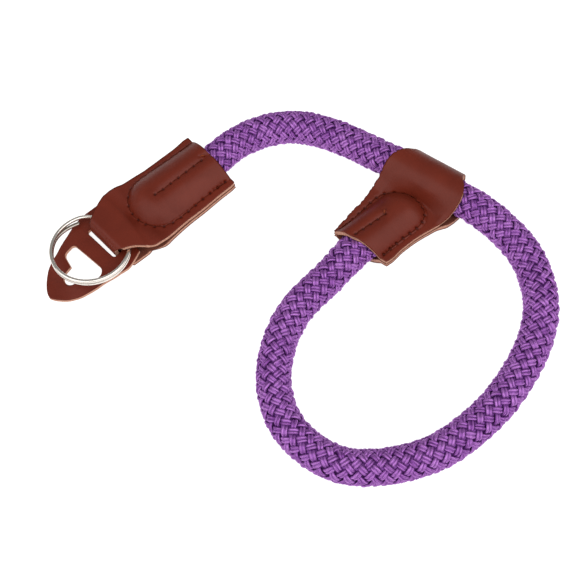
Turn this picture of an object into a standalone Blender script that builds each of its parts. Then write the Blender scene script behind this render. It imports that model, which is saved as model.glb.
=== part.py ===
"""A camera wrist strap, lying on a table. Metres, +Z up.

A braided rope is sewn into a folded leather end tab at one end and into a leather slider at the
other. The slider is folded round the rope itself, so the rope makes a loop for the wrist. The tab's
fold holds a split ring and a pointed leather protector, which keeps the ring off the camera.
Sizes are in millimetres and MM turns them into metres where a mesh is made.
"""

import math
from dataclasses import dataclass

import bmesh
import bpy
import numpy as np

MM = 0.001

# Rope
ROPE_DIAMETER = 10.4
SEWN_HEIGHT = 8.0
SEWN_WIDTH = 11.4
SEAM_DIP = 0.6
SEAM_DIP_WIDTH = 1.5
ROPE_END_SHARE = 0.7
ROPE_POINTS = 72
ROPE_SIDES = 12

# Leather
LEATHER = 1.4
LAYER_GAP = 0.3
CLEARANCE = 0.3

# End tab, from its mouth at the rope to its fold at the ring
TAB_MOUTH_X = 5.4
TAB_AXIS_Y = 24.4
TAB_LENGTH = 41.5
TAB_WIDTH = 23.9
TAB_SEAM_DEPTH = 29.4
TAB_SEAM_WIDTH = 18.4
TAB_SEAM_Y = 25.1
TAB_MOUTH_SLANT = -0.07
LOWER_LAYER_EDGE = 9.6
TONGUE_WIDTH = 11.8
TONGUE_Y = 25.7
FOLD_BLUNTNESS = 0.55
FOLD_SLANT = 0.097
FOLD_SLANT_REACH = 10.0

# Split ring
RING_DIAMETER = 25.0
RING_WIRE = 1.15
COIL_GAP = 0.1
RING_Y = 24.8
RING_LEAN = 6.6
RING_TIP = 3.0
RING_START = 75.0
RING_STEP_ANGLE = 26.0
RING_SPREAD = 1.1
RING_SPREAD_ANGLE = 55.0

# Lug protector
PROTECTOR_LENGTH = 31.0
PROTECTOR_WIDTH = 24.8
PROTECTOR_Y = 25.4
PROTECTOR_TURN = 10.0
PROTECTOR_TIP_SHARE = 0.752
PROTECTOR_BAR = 4.8
SLIT_FRONT = 2.0
SLIT_SPARE = 0.5
SLIT_SKEW = 0.05
KEYHOLE_SETBACK = 5.2
KEYHOLE_WIDTH = 14.0
KEYHOLE_BAR = 5.6
KEYHOLE_DEEPER = 1.7
KEYHOLE_STEM_WIDTH = 4.9
KEYHOLE_STEM = 4.9
PROTECTOR_DROP = 13.0
PROTECTOR_TIP_FLAT = 3.0

# Slider, from the running rope to its mouth at the loop's end
SLIDER_Y = -25.0
SLIDER_REACH = 30.8
SLIDER_WIDTH = 25.6
SLIDER_SEAM_DEPTH = 23.1
SLIDER_SEAM_WIDTH = 15.2
SLIDER_SEAM_Y = -27.3

# Where the rope runs outside the leather: x, y, share of the slider's lift
ROUTE = (
    (13.2, 25.9, 0.0),
    (20.4, 25.1, 0.0),
    (27.0, 22.7, 0.0),
    (33.0, 18.7, 0.0),
    (37.7, 13.0, 0.0),
    (41.4, 6.3, 0.0),
    (44.3, -0.6, 0.08),
    (46.4, -7.6, 0.54),
    (48.1, -12.6, 0.96),
    (49.9, -18.8, 1.0),
    (51.8, -25.0, 1.0),
    (54.9, -35.6, 1.0),
    (57.0, -43.0, 0.75),
    (58.1, -51.0, 0.2),
    (57.9, -58.6, 0.0),
    (55.9, -65.6, 0.0),
    (52.1, -72.7, 0.0),
    (46.2, -79.0, 0.0),
    (38.6, -83.8, 0.0),
    (30.1, -87.3, 0.0),
    (20.6, -89.8, 0.0),
    (10.4, -90.7, 0.0),
    (0.4, -90.1, 0.0),
    (-9.2, -87.0, 0.0),
    (-17.8, -82.0, 0.0),
    (-24.6, -75.2, 0.0),
    (-28.2, -66.2, 0.0),
    (-28.7, -56.6, 0.0),
    (-25.6, -47.6, 0.0),
    (-20.0, -40.3, 0.0),
    (-12.0, -34.3, 0.0),
    (-2.4, -30.6, 0.0),
    (8.0, -29.3, 0.0),
)

# Outlines of the two folded straps. Columns: share of the way from where the layers part, at the
# fold, to the mouth, then the low and the high edge as shares of half the width. The first row is
# at the fold's own edge.
TAB_OUTLINE = (
    (-0.08, -0.38, 0.54),
    (-0.03, -0.52, 0.61),
    (0.00, -0.58, 0.66),
    (0.04, -0.63, 0.75),
    (0.09, -0.72, 0.85),
    (0.13, -0.83, 0.92),
    (0.17, -0.94, 0.98),
    (0.22, -1.04, 1.00),
    (0.26, -1.06, 0.99),
    (0.36, -1.03, 0.96),
    (0.54, -0.97, 0.92),
    (0.70, -0.94, 0.95),
    (0.85, -0.90, 0.96),
    (0.96, -0.89, 1.00),
    (1.00, -0.87, 0.99),
)
SLIDER_OUTLINE = (
    (-0.20, -0.44, 0.60),
    (-0.14, -0.52, 0.75),
    (-0.10, -0.58, 0.82),
    (-0.03, -0.78, 0.91),
    (0.03, -0.90, 0.93),
    (0.10, -0.98, 0.92),
    (0.19, -1.03, 0.87),
    (0.28, -1.03, 0.81),
    (0.35, -1.00, 0.78),
    (0.42, -0.97, 0.73),
    (0.55, -0.93, 0.63),
    (0.65, -0.91, 0.60),
    (0.80, -0.90, 0.55),
    (0.93, -0.94, 0.49),
    (1.00, -0.93, 0.46),
)

# The protector's outline. Columns: share of its length from the slit's middle, then its low and
# its high edge as shares of half the width.
PROTECTOR_OUTLINE = (
    (-0.40, -0.72, 0.88),
    (-0.22, -0.81, 0.92),
    (-0.06, -0.92, 0.97),
    (0.04, -0.95, 0.95),
    (0.10, -0.91, 0.92),
    (0.19, -0.86, 0.86),
    (0.28, -0.79, 0.81),
    (0.37, -0.74, 0.75),
    (0.46, -0.66, 0.70),
    (0.54, -0.57, 0.63),
    (0.60, -0.47, 0.53),
    (0.66, -0.34, 0.40),
    (0.70, -0.21, 0.29),
    (0.735, -0.07, 0.16),
    (0.752, 0.04, 0.04),
)

# Colour, roughness and metallic value of each finish
BROWN_LEATHER = ("brown_leather", (0.155, 0.032, 0.022), 0.42, 0.0)
PURPLE_BRAID = ("purple_braid", (0.235, 0.055, 0.36), 0.55, 0.0)
NICKEL = ("nickel", (0.78, 0.76, 0.73), 0.16, 1.0)


def smooth_step(share):
    """0 to 1 with level ends, held outside."""
    held = np.clip(share, 0.0, 1.0)
    return held * held * (3.0 - 2.0 * held)


def smooth_curve(points, places):
    """Natural cubic curve through the points, read at places measured along their chords."""
    points = np.asarray(points, float)
    run = np.concatenate([[0.0], np.cumsum(np.linalg.norm(np.diff(points, axis=0), axis=1))])
    step = np.diff(run)
    count = len(points)
    left = np.eye(count)
    right = np.zeros_like(points)
    for row in range(1, count - 1):
        left[row, row - 1 : row + 2] = step[row - 1], 2 * (step[row - 1] + step[row]), step[row]
        slopes = np.diff(points[row - 1 : row + 2], axis=0) / step[row - 1 : row + 1, None]
        right[row] = 6 * (slopes[1] - slopes[0])
    bend = np.linalg.solve(left, right)
    along = np.asarray(places, float) * run[-1]
    cell = np.clip(np.searchsorted(run, along, side="right") - 1, 0, count - 2)
    wide = step[cell][:, None]
    after = (along - run[cell])[:, None]
    before = wide - after
    return (
        bend[cell] * before**3 / (6 * wide)
        + bend[cell + 1] * after**3 / (6 * wide)
        + (points[cell] / wide - bend[cell] * wide / 6) * before
        + (points[cell + 1] / wide - bend[cell + 1] * wide / 6) * after
    )


# Sizes that follow from the driving ones
ROPE_RADIUS = ROPE_DIAMETER / 2
SLIDER_LIFT = LEATHER + CLEARANCE
TUNNEL_HEIGHT = ROPE_RADIUS + SLIDER_LIFT
POCKET_HEIGHT = LEATHER + CLEARANCE + SEWN_HEIGHT / 2
RING_HEIGHT = 2 * RING_WIRE + COIL_GAP
RING_RADIUS = (RING_DIAMETER - RING_WIRE) / 2

# The fold is filled, from the table up, by the tab's lower layer, the protector's bar and the ring
FOLD_TIP_X = TAB_MOUTH_X - TAB_LENGTH
SLIT_X = FOLD_TIP_X - CLEARANCE
TIP_X = SLIT_X - PROTECTOR_TIP_SHARE * PROTECTOR_LENGTH
BAR_FLOOR = LEATHER + CLEARANCE
RING_FLOOR = BAR_FLOOR + LEATHER + CLEARANCE
FOLD_OPENING = RING_FLOOR + RING_HEIGHT + 3.4 * CLEARANCE - LEATHER
TAB_ROLL_X = FOLD_TIP_X + FOLD_BLUNTNESS * (FOLD_OPENING / 2 + LEATHER)
BAR_X = FOLD_TIP_X + LEATHER + 1.6 * CLEARANCE + FOLD_BLUNTNESS * FOLD_OPENING / 6
RING_X = BAR_X + PROTECTOR_BAR + 2 * CLEARANCE - RING_DIAMETER / 2


@dataclass
class Strap:
    """A leather strip folded round something, with a rope's end sewn in at its mouth.

    s runs from the middle of the fold to the mouth and v across. toward is the way of s along X.
    """

    origin: tuple
    toward: int
    reach: float
    width: float
    outline: tuple
    fold_radius: float
    fold_scale: float
    fold_height: float
    fold_flat: float
    seam_depth: float
    seam_width: float
    seam_v: float
    slant: float
    lower_lag: float
    lower_edge: float
    fold_slant: float


def oblique(strap):
    """How much wider than a square cut the slider's tunnel is along X, as the rope crosses askew."""
    ahead = rope_x(strap.origin[1] + 1.0) - rope_x(strap.origin[1] - 1.0)
    return math.hypot(ahead / 2, 1.0)


def pocket_share(strap, s, v):
    """1 over the middle of the sewn-in rope and 0 at the seam, which is a U open at the mouth."""
    depth = strap.reach - strap.seam_depth
    bend = 0.42 * strap.seam_width
    ahead = np.clip((depth + bend - s) / bend, 0.0, None)
    across = (v - strap.seam_v) / (strap.seam_width / 2)
    away = np.clip(np.hypot(ahead, across), 0.0, 1.0)
    return (1.0 - away**2.4) ** 1.1


def seam_dip(strap, s, v):
    """How far the row of stitches along the rope's middle pulls the leather and the rope in."""
    start = strap.reach - strap.seam_depth + 0.35 * strap.seam_width
    along = smooth_step((s - start) / (0.25 * strap.seam_width))
    return SEAM_DIP * along * np.exp(-(((v - strap.seam_v) / SEAM_DIP_WIDTH) ** 2))


def half_spread(strap, s, v):
    """Height of the upper layer's middle over the middle between the two layers."""
    seam_s = strap.reach - strap.seam_depth
    across = (v - strap.seam_v) / (strap.seam_width / 2)
    pinch = seam_s + 0.22 * strap.seam_width * np.clip(across**2, 0.0, 1.6)
    radius = strap.fold_radius + LEATHER / 2
    reach = np.maximum(pinch - strap.fold_flat, 1.05 * radius * strap.fold_scale)
    lean = np.arccos(np.clip(radius * strap.fold_scale / reach, -1.0, 1.0))
    past = np.clip(s - strap.fold_flat, 0.0, None) / strap.fold_scale
    arc = np.sqrt(np.clip(radius**2 - past**2, 0.0, None))
    touch = radius * np.cos(lean)
    line = radius * np.sin(lean) * (reach / strap.fold_scale - past)
    line = line / np.maximum(reach / strap.fold_scale - touch, 1e-6)
    fold = np.where(past < touch, arc, line)
    closed = (LAYER_GAP + LEATHER) / 2
    soft = 0.5 * (fold + closed + np.sqrt((fold - closed) ** 2 + 0.2))
    fold = np.where(past < 0.8 * touch, fold, np.maximum(fold, soft))
    rise = (SEWN_HEIGHT - LAYER_GAP) / 2 + CLEARANCE
    bulge = np.clip(rise * pocket_share(strap, s, v) - seam_dip(strap, s, v), 0.0, None)
    return np.maximum(fold, closed) + bulge


def middle_height(strap, s):
    """Height of the middle between the two layers."""
    seam_s = strap.reach - strap.seam_depth
    start = max(strap.fold_flat, 0.8 * strap.fold_radius * (strap.toward < 0))
    share = smooth_step((s - start) / (1.15 * seam_s - start))
    return strap.fold_height + share * (POCKET_HEIGHT - strap.fold_height)


def strap_points(strap, flat_steps, fold_steps, across_steps):
    """Middle of the leather on a grid: rows from the upper mouth round the fold to the lower one."""
    flat = strap.fold_flat / strap.reach
    layer = np.linspace(1.0, flat, flat_steps + 1)
    if flat > 0:
        layer = np.append(layer, np.linspace(flat, 0.0, 4)[1:])
    turn = np.linspace(0.0, math.pi, fold_steps + 1)[1:-1]
    table = np.array(strap.outline)
    half = strap.width / 2
    rows = []
    sides = np.linspace(0.0, 1.0, across_steps + 1)
    fold_mid = strap.fold_radius + LEATHER / 2
    outside = 1.0 / math.cos(math.pi / (2 * fold_steps))

    def row(share, angle, up):
        place = share if up else share - strap.lower_lag * (1.0 - share)
        low, high = (np.interp(place, table[:, 0], table[:, column]) * half for column in (1, 2))
        if angle is None and not up:
            low = min(low, -strap.lower_edge)
        v = low + sides * (high - low)
        reach = strap.reach + strap.slant * v
        if angle is None:
            s = share * reach
            lift = half_spread(strap, s, v)
            z = middle_height(strap, s) + (lift if up else -lift)
        else:
            s = -strap.fold_scale * fold_mid * outside * math.sin(angle) * np.ones_like(v)
            z = strap.fold_height + fold_mid * math.cos(angle) * np.ones_like(v)
        rows.append(np.column_stack([s, v, z]))

    for share in layer:
        row(share, None, True)
    lowest = table[0, 0]
    for angle in turn:
        row(lowest * math.sin(angle), angle, angle < math.pi / 2)
    for share in layer[::-1]:
        row(share, None, False)
    return np.array(rows)


def strap_place(strap, grid):
    """Turns s, v and z into x, y and z. A strap on the running rope follows the rope's own line."""
    s, v, z = np.moveaxis(grid, -1, 0)
    x, y = strap.origin
    if strap.toward < 0:
        x = rope_x(y + v)
    skew = strap.fold_slant * v * (1.0 - smooth_step(s / FOLD_SLANT_REACH))
    return np.stack([x + strap.toward * s - skew, y + v, z], axis=-1)


def rope_line(count):
    """Centre line of the rope from its end in the tab to its end in the slider."""
    route = [(x, y, ROPE_RADIUS + share * SLIDER_LIFT) for x, y, share in ROUTE]
    tab_end = TAB_MOUTH_X - TAB_SEAM_DEPTH + 0.3 * TAB_SEAM_WIDTH
    tab_stops = np.linspace(tab_end, TAB_MOUTH_X, 4)
    slider_mouth = rope_x(SLIDER_SEAM_Y) - SLIDER_REACH
    slider_end = slider_mouth + SLIDER_SEAM_DEPTH - 0.3 * SLIDER_SEAM_WIDTH
    slider_stops = np.linspace(slider_mouth, slider_end, 3)
    before = [(x, TAB_SEAM_Y, POCKET_HEIGHT) for x in tab_stops]
    after = [(x, SLIDER_SEAM_Y, POCKET_HEIGHT) for x in slider_stops]
    return smooth_curve(before + route + after, np.linspace(0.0, 1.0, int(count)))


def rope_x(y):
    """x of the running rope at y, inside and near the slider."""
    part = np.array([point for point in ROUTE[6:13]])
    line = smooth_curve(part, np.linspace(0.0, 1.0, 60))
    return np.interp(-np.asarray(y, float), -line[:, 1], line[:, 0])


def sewn_shape(points, line):
    """Flattens the rope where the straps hold it, draws in its seam and narrows its cut ends."""
    nearest = np.array([np.argmin(((line - point) ** 2).sum(axis=1)) for point in points])
    centre = line[nearest]
    offset = points - centre
    wide = np.ones(len(points))
    high = np.ones(len(points))
    dip = np.zeros(len(points))
    for strap in (tab_strap(), slider_strap()):
        x, y = strap.origin
        base = x if strap.toward > 0 else rope_x(centre[:, 1])
        s = strap.toward * (centre[:, 0] - base)
        v = points[:, 1] - y
        beyond = s - strap.reach
        near = np.abs(centre[:, 1] - y - strap.seam_v) < strap.width / 2
        inside = near & (s > strap.reach - strap.seam_depth)
        held = np.where(inside, 1.0 - smooth_step(beyond / ROPE_DIAMETER), 0.0)
        end = strap.reach - strap.seam_depth + 0.3 * strap.seam_width
        taper = ROPE_END_SHARE + (1 - ROPE_END_SHARE) * smooth_step((s - end) / ROPE_RADIUS)
        taper = np.where(inside, taper, 1.0)
        wide = (wide + held * (SEWN_WIDTH / ROPE_DIAMETER - wide)) * taper
        high = (high + held * (SEWN_HEIGHT / ROPE_DIAMETER - high)) * taper
        dip += seam_dip(strap, s, v) * held * np.clip(np.abs(offset[:, 2]) / ROPE_RADIUS, 0, 1)
    offset[:, :2] *= wide[:, None]
    offset[:, 2] = offset[:, 2] * high - np.sign(offset[:, 2]) * dip
    return centre + offset


def tab_strap():
    return Strap(
        origin=(TAB_ROLL_X, TAB_AXIS_Y),
        toward=1,
        reach=TAB_MOUTH_X - TAB_ROLL_X,
        width=TAB_WIDTH,
        outline=TAB_OUTLINE,
        fold_radius=FOLD_OPENING / 2,
        fold_scale=FOLD_BLUNTNESS,
        fold_height=FOLD_OPENING / 2 + LEATHER,
        fold_flat=BAR_X + PROTECTOR_BAR + 4 * CLEARANCE - TAB_ROLL_X,
        seam_depth=TAB_SEAM_DEPTH,
        seam_width=TAB_SEAM_WIDTH,
        seam_v=TAB_SEAM_Y - TAB_AXIS_Y,
        slant=TAB_MOUTH_SLANT,
        lower_lag=0.08,
        lower_edge=LOWER_LAYER_EDGE,
        fold_slant=FOLD_SLANT,
    )


def slider_strap():
    strap = Strap(
        origin=(float(rope_x(SLIDER_Y)), SLIDER_Y),
        toward=-1,
        reach=SLIDER_REACH,
        width=SLIDER_WIDTH,
        outline=SLIDER_OUTLINE,
        fold_radius=ROPE_RADIUS + CLEARANCE,
        fold_scale=1.0,
        fold_height=TUNNEL_HEIGHT,
        fold_flat=0.0,
        seam_depth=SLIDER_SEAM_DEPTH,
        seam_width=SLIDER_SEAM_WIDTH,
        seam_v=SLIDER_SEAM_Y - SLIDER_Y,
        slant=0.0,
        lower_lag=0.0,
        lower_edge=0.0,
        fold_slant=0.0,
    )
    strap.fold_scale = oblique(strap)
    return strap


def clear_scene():
    for item in list(bpy.data.objects):
        bpy.data.objects.remove(item, do_unlink=True)


def finish_of(finish):
    name, colour, roughness, metallic = finish
    material = bpy.data.materials.new(name)
    material.use_nodes = True
    shader = material.node_tree.nodes["Principled BSDF"]
    shader.inputs["Base Color"].default_value = (*colour, 1.0)
    shader.inputs["Roughness"].default_value = roughness
    shader.inputs["Metallic"].default_value = metallic
    return material


def add_object(name, data, material, collection):
    item = bpy.data.objects.new(name, data)
    data.materials.append(material)
    collection.objects.link(item)
    return item


def made_mesh(item):
    """The evaluated object as a mesh of its own, with loose caps welded."""
    bpy.context.view_layer.update()
    graph = bpy.context.evaluated_depsgraph_get()
    mesh = bpy.data.meshes.new_from_object(item.evaluated_get(graph))
    bpy.data.objects.remove(item, do_unlink=True)
    work = bmesh.new()
    work.from_mesh(mesh)
    bmesh.ops.remove_doubles(work, verts=work.verts, dist=1e-7)
    work.to_mesh(mesh)
    work.free()
    return mesh


def curve_tube(name, line, radius, sides):
    """A round tube along a line of points."""
    curve = bpy.data.curves.new(name, "CURVE")
    curve.dimensions = "3D"
    curve.twist_mode = "Z_UP"
    curve.bevel_depth = radius * MM
    curve.bevel_resolution = (sides - 4) // 2
    curve.use_fill_caps = True
    spline = curve.splines.new("POLY")
    spline.points.add(len(line) - 1)
    for point, (x, y, z) in zip(spline.points, line):
        point.co = (x * MM, y * MM, z * MM, 1.0)
    return curve


def add_strap(name, strap, flat_steps, fold_steps, across_steps, material, collection):
    """A folded strap: an open surface through the middle of the leather, given its thickness."""
    grid = strap_place(strap, strap_points(strap, flat_steps, fold_steps, across_steps))
    rows, columns = grid.shape[:2]
    corner = np.arange((rows - 1) * (columns - 1))
    corner = corner // (columns - 1) * columns + corner % (columns - 1)
    quads = np.stack([corner, corner + 1, corner + columns + 1, corner + columns], axis=1)
    mesh = bpy.data.meshes.new(name)
    mesh.from_pydata((grid.reshape(-1, 3) * MM).tolist(), [], quads.tolist())
    mesh.shade_smooth()
    item = add_object(name, mesh, material, collection)
    wall = item.modifiers.new("wall", "SOLIDIFY")
    wall.thickness = LEATHER * MM
    wall.offset = 0.0
    wall.use_even_offset = True
    return item


def add_rope(material, collection):
    line = rope_line(ROPE_POINTS)
    curve = curve_tube("rope", line, ROPE_RADIUS, ROPE_SIDES)
    tube = bpy.data.objects.new("rope_tube", curve)
    collection.objects.link(tube)
    mesh = made_mesh(tube)
    mesh.name = "rope"
    points = np.empty(len(mesh.vertices) * 3, np.float32)
    mesh.vertices.foreach_get("co", points)
    points = points.reshape(-1, 3).astype(float) / MM
    shaped = sewn_shape(points, rope_line(20 * ROPE_POINTS))
    mesh.vertices.foreach_set("co", (shaped * MM).astype(np.float32).ravel())
    mesh.shade_smooth()
    mesh.update()
    return add_object("rope", mesh, material, collection)


def add_split_ring(material, collection):
    """One wire, wound nearly twice round: the step up and the two ends share one short stretch."""
    start = math.radians(RING_START)
    step = math.radians(RING_STEP_ANGLE)
    spread = math.radians(RING_SPREAD_ANGLE)
    turned = np.linspace(0.02, 4 * math.pi - step - 0.02, 96)
    rise = smooth_step((turned - 2 * math.pi + step) / step)
    radius = RING_RADIUS - RING_SPREAD * (1 - smooth_step(turned / spread))
    angle = start + turned
    coil = RING_WIRE + COIL_GAP
    line = np.column_stack([radius * np.cos(angle), radius * np.sin(angle), (rise - 0.5) * coil])
    curve = curve_tube("split_ring", line, RING_WIRE / 2, 8)
    item = add_object("split_ring", curve, material, collection)
    lean = math.radians(RING_LEAN)
    tip = math.radians(RING_TIP)
    height = RING_FLOOR + RING_HEIGHT / 2 + RING_DIAMETER / 2 * math.sin(lean)
    item.location = (RING_X * MM, RING_Y * MM, height * MM)
    item.rotation_euler = (-tip, lean, 0.0)
    return item


def rounded(corners, steps=5):
    """Outline through the corners, each turned with its own radius. Columns: x, y, radius."""
    corners = np.array(corners, float)
    outline = []
    for before, here, after in zip(np.roll(corners, 1, 0), corners, np.roll(corners, -1, 0)):
        back, ahead = before[:2] - here[:2], after[:2] - here[:2]
        back, ahead = back / np.linalg.norm(back), ahead / np.linalg.norm(ahead)
        half = math.acos(float(np.clip(back @ ahead, -1, 1))) / 2
        cut = here[2] / math.tan(half)
        centre = here[:2] + (back + ahead) / np.linalg.norm(back + ahead) * here[2] / math.sin(half)
        first, last = here[:2] + back * cut - centre, here[:2] + ahead * cut - centre
        for share in np.linspace(0.0, 1.0, steps + 1):
            ray = first * (1 - share) + last * share
            outline.append(centre + ray / np.linalg.norm(ray) * here[2])
    return np.array(outline)


def protector_frame():
    """Middle of the slit, and the ways along the protector to its tip and across it."""
    turn = math.radians(PROTECTOR_TURN)
    along = np.array([-math.cos(turn), -math.sin(turn)])
    across = np.array([-math.sin(turn), math.cos(turn)])
    middle = np.array([SLIT_X, PROTECTOR_Y])
    return middle, along, across


def to_row(pairs):
    middle, along, across = protector_frame()
    pairs = np.asarray(pairs, float)
    return middle + pairs[:, :1] * along + pairs[:, 1:2] * across


def meeting(across_share, x):
    """Distance along the protector where the line that far across it meets a given x."""
    middle, along, across = protector_frame()
    return (x - middle[0] - across_share * across[0]) / along[0]


def protector_outline():
    table = np.array(PROTECTOR_OUTLINE)
    rear_x = BAR_X + PROTECTOR_BAR
    sides = []
    for column, side in ((2, 1), (1, -1)):
        line = table[:, (0, column)] * [PROTECTOR_LENGTH, PROTECTOR_WIDTH / 2]
        dense = smooth_curve(line, np.linspace(0, 1, 200))
        kept = dense[dense[:, 0] > meeting(side * 0.95 * PROTECTOR_WIDTH / 2, rear_x)]
        run = np.concatenate([[0], np.cumsum(np.linalg.norm(np.diff(kept, axis=0), axis=1))])
        places = 1 - (1 - np.linspace(0, 1, 26)) ** 1.5
        sides.append(np.column_stack([np.interp(places * run[-1], run, part) for part in kept.T]))
    return to_row(np.vstack([sides[0], sides[1][-2::-1]]))


def keyhole_outline():
    """A bar across the protector, deeper at its low end, with a narrower stem towards the tip."""
    near = KEYHOLE_SETBACK + SLIT_FRONT / 2
    shoulder = near + 0.78 * KEYHOLE_BAR
    far = near + 1.03 * KEYHOLE_BAR
    end = near + KEYHOLE_BAR + KEYHOLE_STEM
    half, stem = KEYHOLE_WIDTH / 2, KEYHOLE_STEM_WIDTH / 2
    shape = rounded(
        [
            (near, half, 0.22 * KEYHOLE_BAR),
            (shoulder, half, 0.3 * KEYHOLE_BAR),
            (far, stem, 0.3),
            (end, stem, 0.98 * stem),
            (end, -stem, 0.98 * stem),
            (far + KEYHOLE_DEEPER, -stem, 0.3),
            (shoulder + 0.9 * KEYHOLE_DEEPER, -half, 0.3 * KEYHOLE_BAR),
            (near, -half, 0.45 * KEYHOLE_BAR),
        ]
    )
    return to_row(shape)


def slit_outline():
    """The tongue passes through here. Its rear edge is the front of the bar, along the fold."""
    centre = TONGUE_Y - PROTECTOR_Y
    half = TONGUE_WIDTH / 2 + SLIT_SPARE
    high, low = centre + half, centre - half
    front = [SLIT_FRONT / 2 - SLIT_SKEW * across for across in (low, high)]
    bar = [BAR_X - FOLD_SLANT * (PROTECTOR_Y + across - TAB_AXIS_Y) for across in (low, high)]
    corners = [
        (front[0], low, 0.55 * SLIT_FRONT),
        (front[1], high, 0.4 * SLIT_FRONT),
        (meeting(high, bar[1]), high, 0.3 * SLIT_FRONT),
        (meeting(low, bar[0]), low, 0.3 * SLIT_FRONT),
    ]
    return to_row(rounded(corners, 3))


def protector_drop(x):
    """The protector lies on the tab's lower layer at the slit, and its tip comes down to the table."""
    return BAR_FLOOR * smooth_step((x - TIP_X - PROTECTOR_TIP_FLAT) / PROTECTOR_DROP)


def add_protector(material, collection):
    """A flat outline with its two holes, given its thickness, scored across and then bent."""
    curve = bpy.data.curves.new("lug_protector", "CURVE")
    curve.dimensions = "2D"
    curve.fill_mode = "BOTH"
    curve.extrude = LEATHER / 2 * MM
    for outline in (protector_outline(), keyhole_outline(), slit_outline()):
        spline = curve.splines.new("POLY")
        spline.points.add(len(outline) - 1)
        spline.use_cyclic_u = True
        for point, (x, y) in zip(spline.points, outline):
            point.co = (x * MM, y * MM, 0.0, 1.0)
    flat = bpy.data.objects.new("protector_outline", curve)
    collection.objects.link(flat)
    mesh = made_mesh(flat)
    work = bmesh.new()
    work.from_mesh(mesh)
    start = TIP_X + PROTECTOR_TIP_FLAT
    for x in np.linspace(start, start + PROTECTOR_DROP, 7):
        everything = work.verts[:] + work.edges[:] + work.faces[:]
        bmesh.ops.bisect_plane(work, geom=everything, plane_co=(x * MM, 0, 0), plane_no=(1, 0, 0))
    for corner in work.verts:
        corner.co.z += (LEATHER / 2 + float(protector_drop(corner.co.x / MM))) * MM
    bmesh.ops.triangulate(work, faces=work.faces)
    work.to_mesh(mesh)
    work.free()
    mesh.name = "lug_protector"
    return add_object("lug_protector", mesh, material, collection)


def main():
    clear_scene()
    collection = bpy.data.collections.new("camera_wrist_strap")
    bpy.context.scene.collection.children.link(collection)
    leather = finish_of(BROWN_LEATHER)
    add_rope(finish_of(PURPLE_BRAID), collection)
    add_strap("end_tab", tab_strap(), 18, 8, 16, leather, collection)
    add_strap("slider", slider_strap(), 20, 12, 16, leather, collection)
    add_protector(leather, collection)
    add_split_ring(finish_of(NICKEL), collection)


main()
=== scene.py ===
"""A camera wrist strap on a pale table: braided purple rope, brown leather tab and slider, split
ring and pointed leather protector. Lengths are in millimetres until a mesh is made."""

import math
from types import SimpleNamespace

import bpy
import numpy as np
from mathutils import Matrix, Vector


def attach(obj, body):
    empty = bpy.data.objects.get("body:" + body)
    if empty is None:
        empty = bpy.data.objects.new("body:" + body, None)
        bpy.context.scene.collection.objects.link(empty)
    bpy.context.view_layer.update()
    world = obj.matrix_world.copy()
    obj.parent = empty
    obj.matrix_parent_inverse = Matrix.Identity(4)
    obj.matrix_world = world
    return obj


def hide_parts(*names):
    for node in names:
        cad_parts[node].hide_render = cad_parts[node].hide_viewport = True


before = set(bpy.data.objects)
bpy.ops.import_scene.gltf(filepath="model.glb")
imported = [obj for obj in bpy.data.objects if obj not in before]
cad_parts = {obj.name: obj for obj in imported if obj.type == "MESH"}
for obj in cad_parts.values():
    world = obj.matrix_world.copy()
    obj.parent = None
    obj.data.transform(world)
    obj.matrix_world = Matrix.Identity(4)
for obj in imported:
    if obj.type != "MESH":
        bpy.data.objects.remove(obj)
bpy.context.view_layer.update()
MM = 0.001
CURVE_SAMPLES = 400
RANDOM = np.random.default_rng(11)

# Rope
ROPE_DIAMETER = 10.4
ROPE_RADIUS = ROPE_DIAMETER / 2
SEWN_HEIGHT = 8.0
SEWN_WIDTH = 11.4
SEAM_DIP = 0.6
SEAM_DIP_WIDTH = 1.5
ROPE_END_SHARE = 0.7
ROPE_END_SETBACK = 0.3
ROUTE = (
    (13.2, 25.9, 0.0), (20.4, 25.1, 0.0), (27.0, 22.7, 0.0), (33.0, 18.7, 0.0),
    (37.7, 13.0, 0.0), (41.4, 6.3, 0.0), (44.3, -0.6, 0.08), (46.4, -7.6, 0.54),
    (48.1, -12.6, 0.96), (49.9, -18.8, 1.0), (51.8, -25.0, 1.0), (54.9, -35.6, 1.0),
    (57.0, -43.0, 0.75), (58.1, -51.0, 0.2), (57.9, -58.6, 0.0), (55.9, -65.6, 0.0),
    (52.1, -72.7, 0.0), (46.2, -79.0, 0.0), (38.6, -83.8, 0.0), (30.1, -87.3, 0.0),
    (20.6, -89.8, 0.0), (10.4, -90.7, 0.0), (0.4, -90.1, 0.0), (-9.2, -87.0, 0.0),
    (-17.8, -82.0, 0.0), (-24.6, -75.2, 0.0), (-28.2, -66.2, 0.0), (-28.7, -56.6, 0.0),
    (-25.6, -47.6, 0.0), (-20.0, -40.3, 0.0), (-12.0, -34.3, 0.0), (-2.4, -30.6, 0.0),
    (8.0, -29.3, 0.0),
)

# Braid: two families of flat tapes of yarn, each over one and under one of the other in turn
TAPES = 8
BRAID_LEAD = 26.8
BRAID_RADIUS = 4.22
BRAID_LIFT = 0.5
BRAID_SQUARENESS = 2.4
BRAID_TURN = 0.35
TAPE_HALF_WIDTH = 0.94
TAPE_HALF_DEPTH = 0.5
TAPE_CROWN = 0.075
TAPE_TWIST = 0.42
STEPS_A_LEAD = 66
CORE_RADIUS = 3.92
CORE_SIDES = 16
# A tape's section: two round plies side by side. Columns: share of the half width, of the half depth
TAPE_SECTION = (
    (1.0, 0.0), (0.93, 0.55), (0.74, 0.92), (0.5, 1.0), (0.25, 0.82), (0.0, 0.42), (-0.25, 0.82),
    (-0.5, 1.0), (-0.74, 0.92), (-0.93, 0.55), (-1.0, 0.0), (-0.6, -0.7), (0.0, -0.8), (0.6, -0.7),
)

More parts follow.
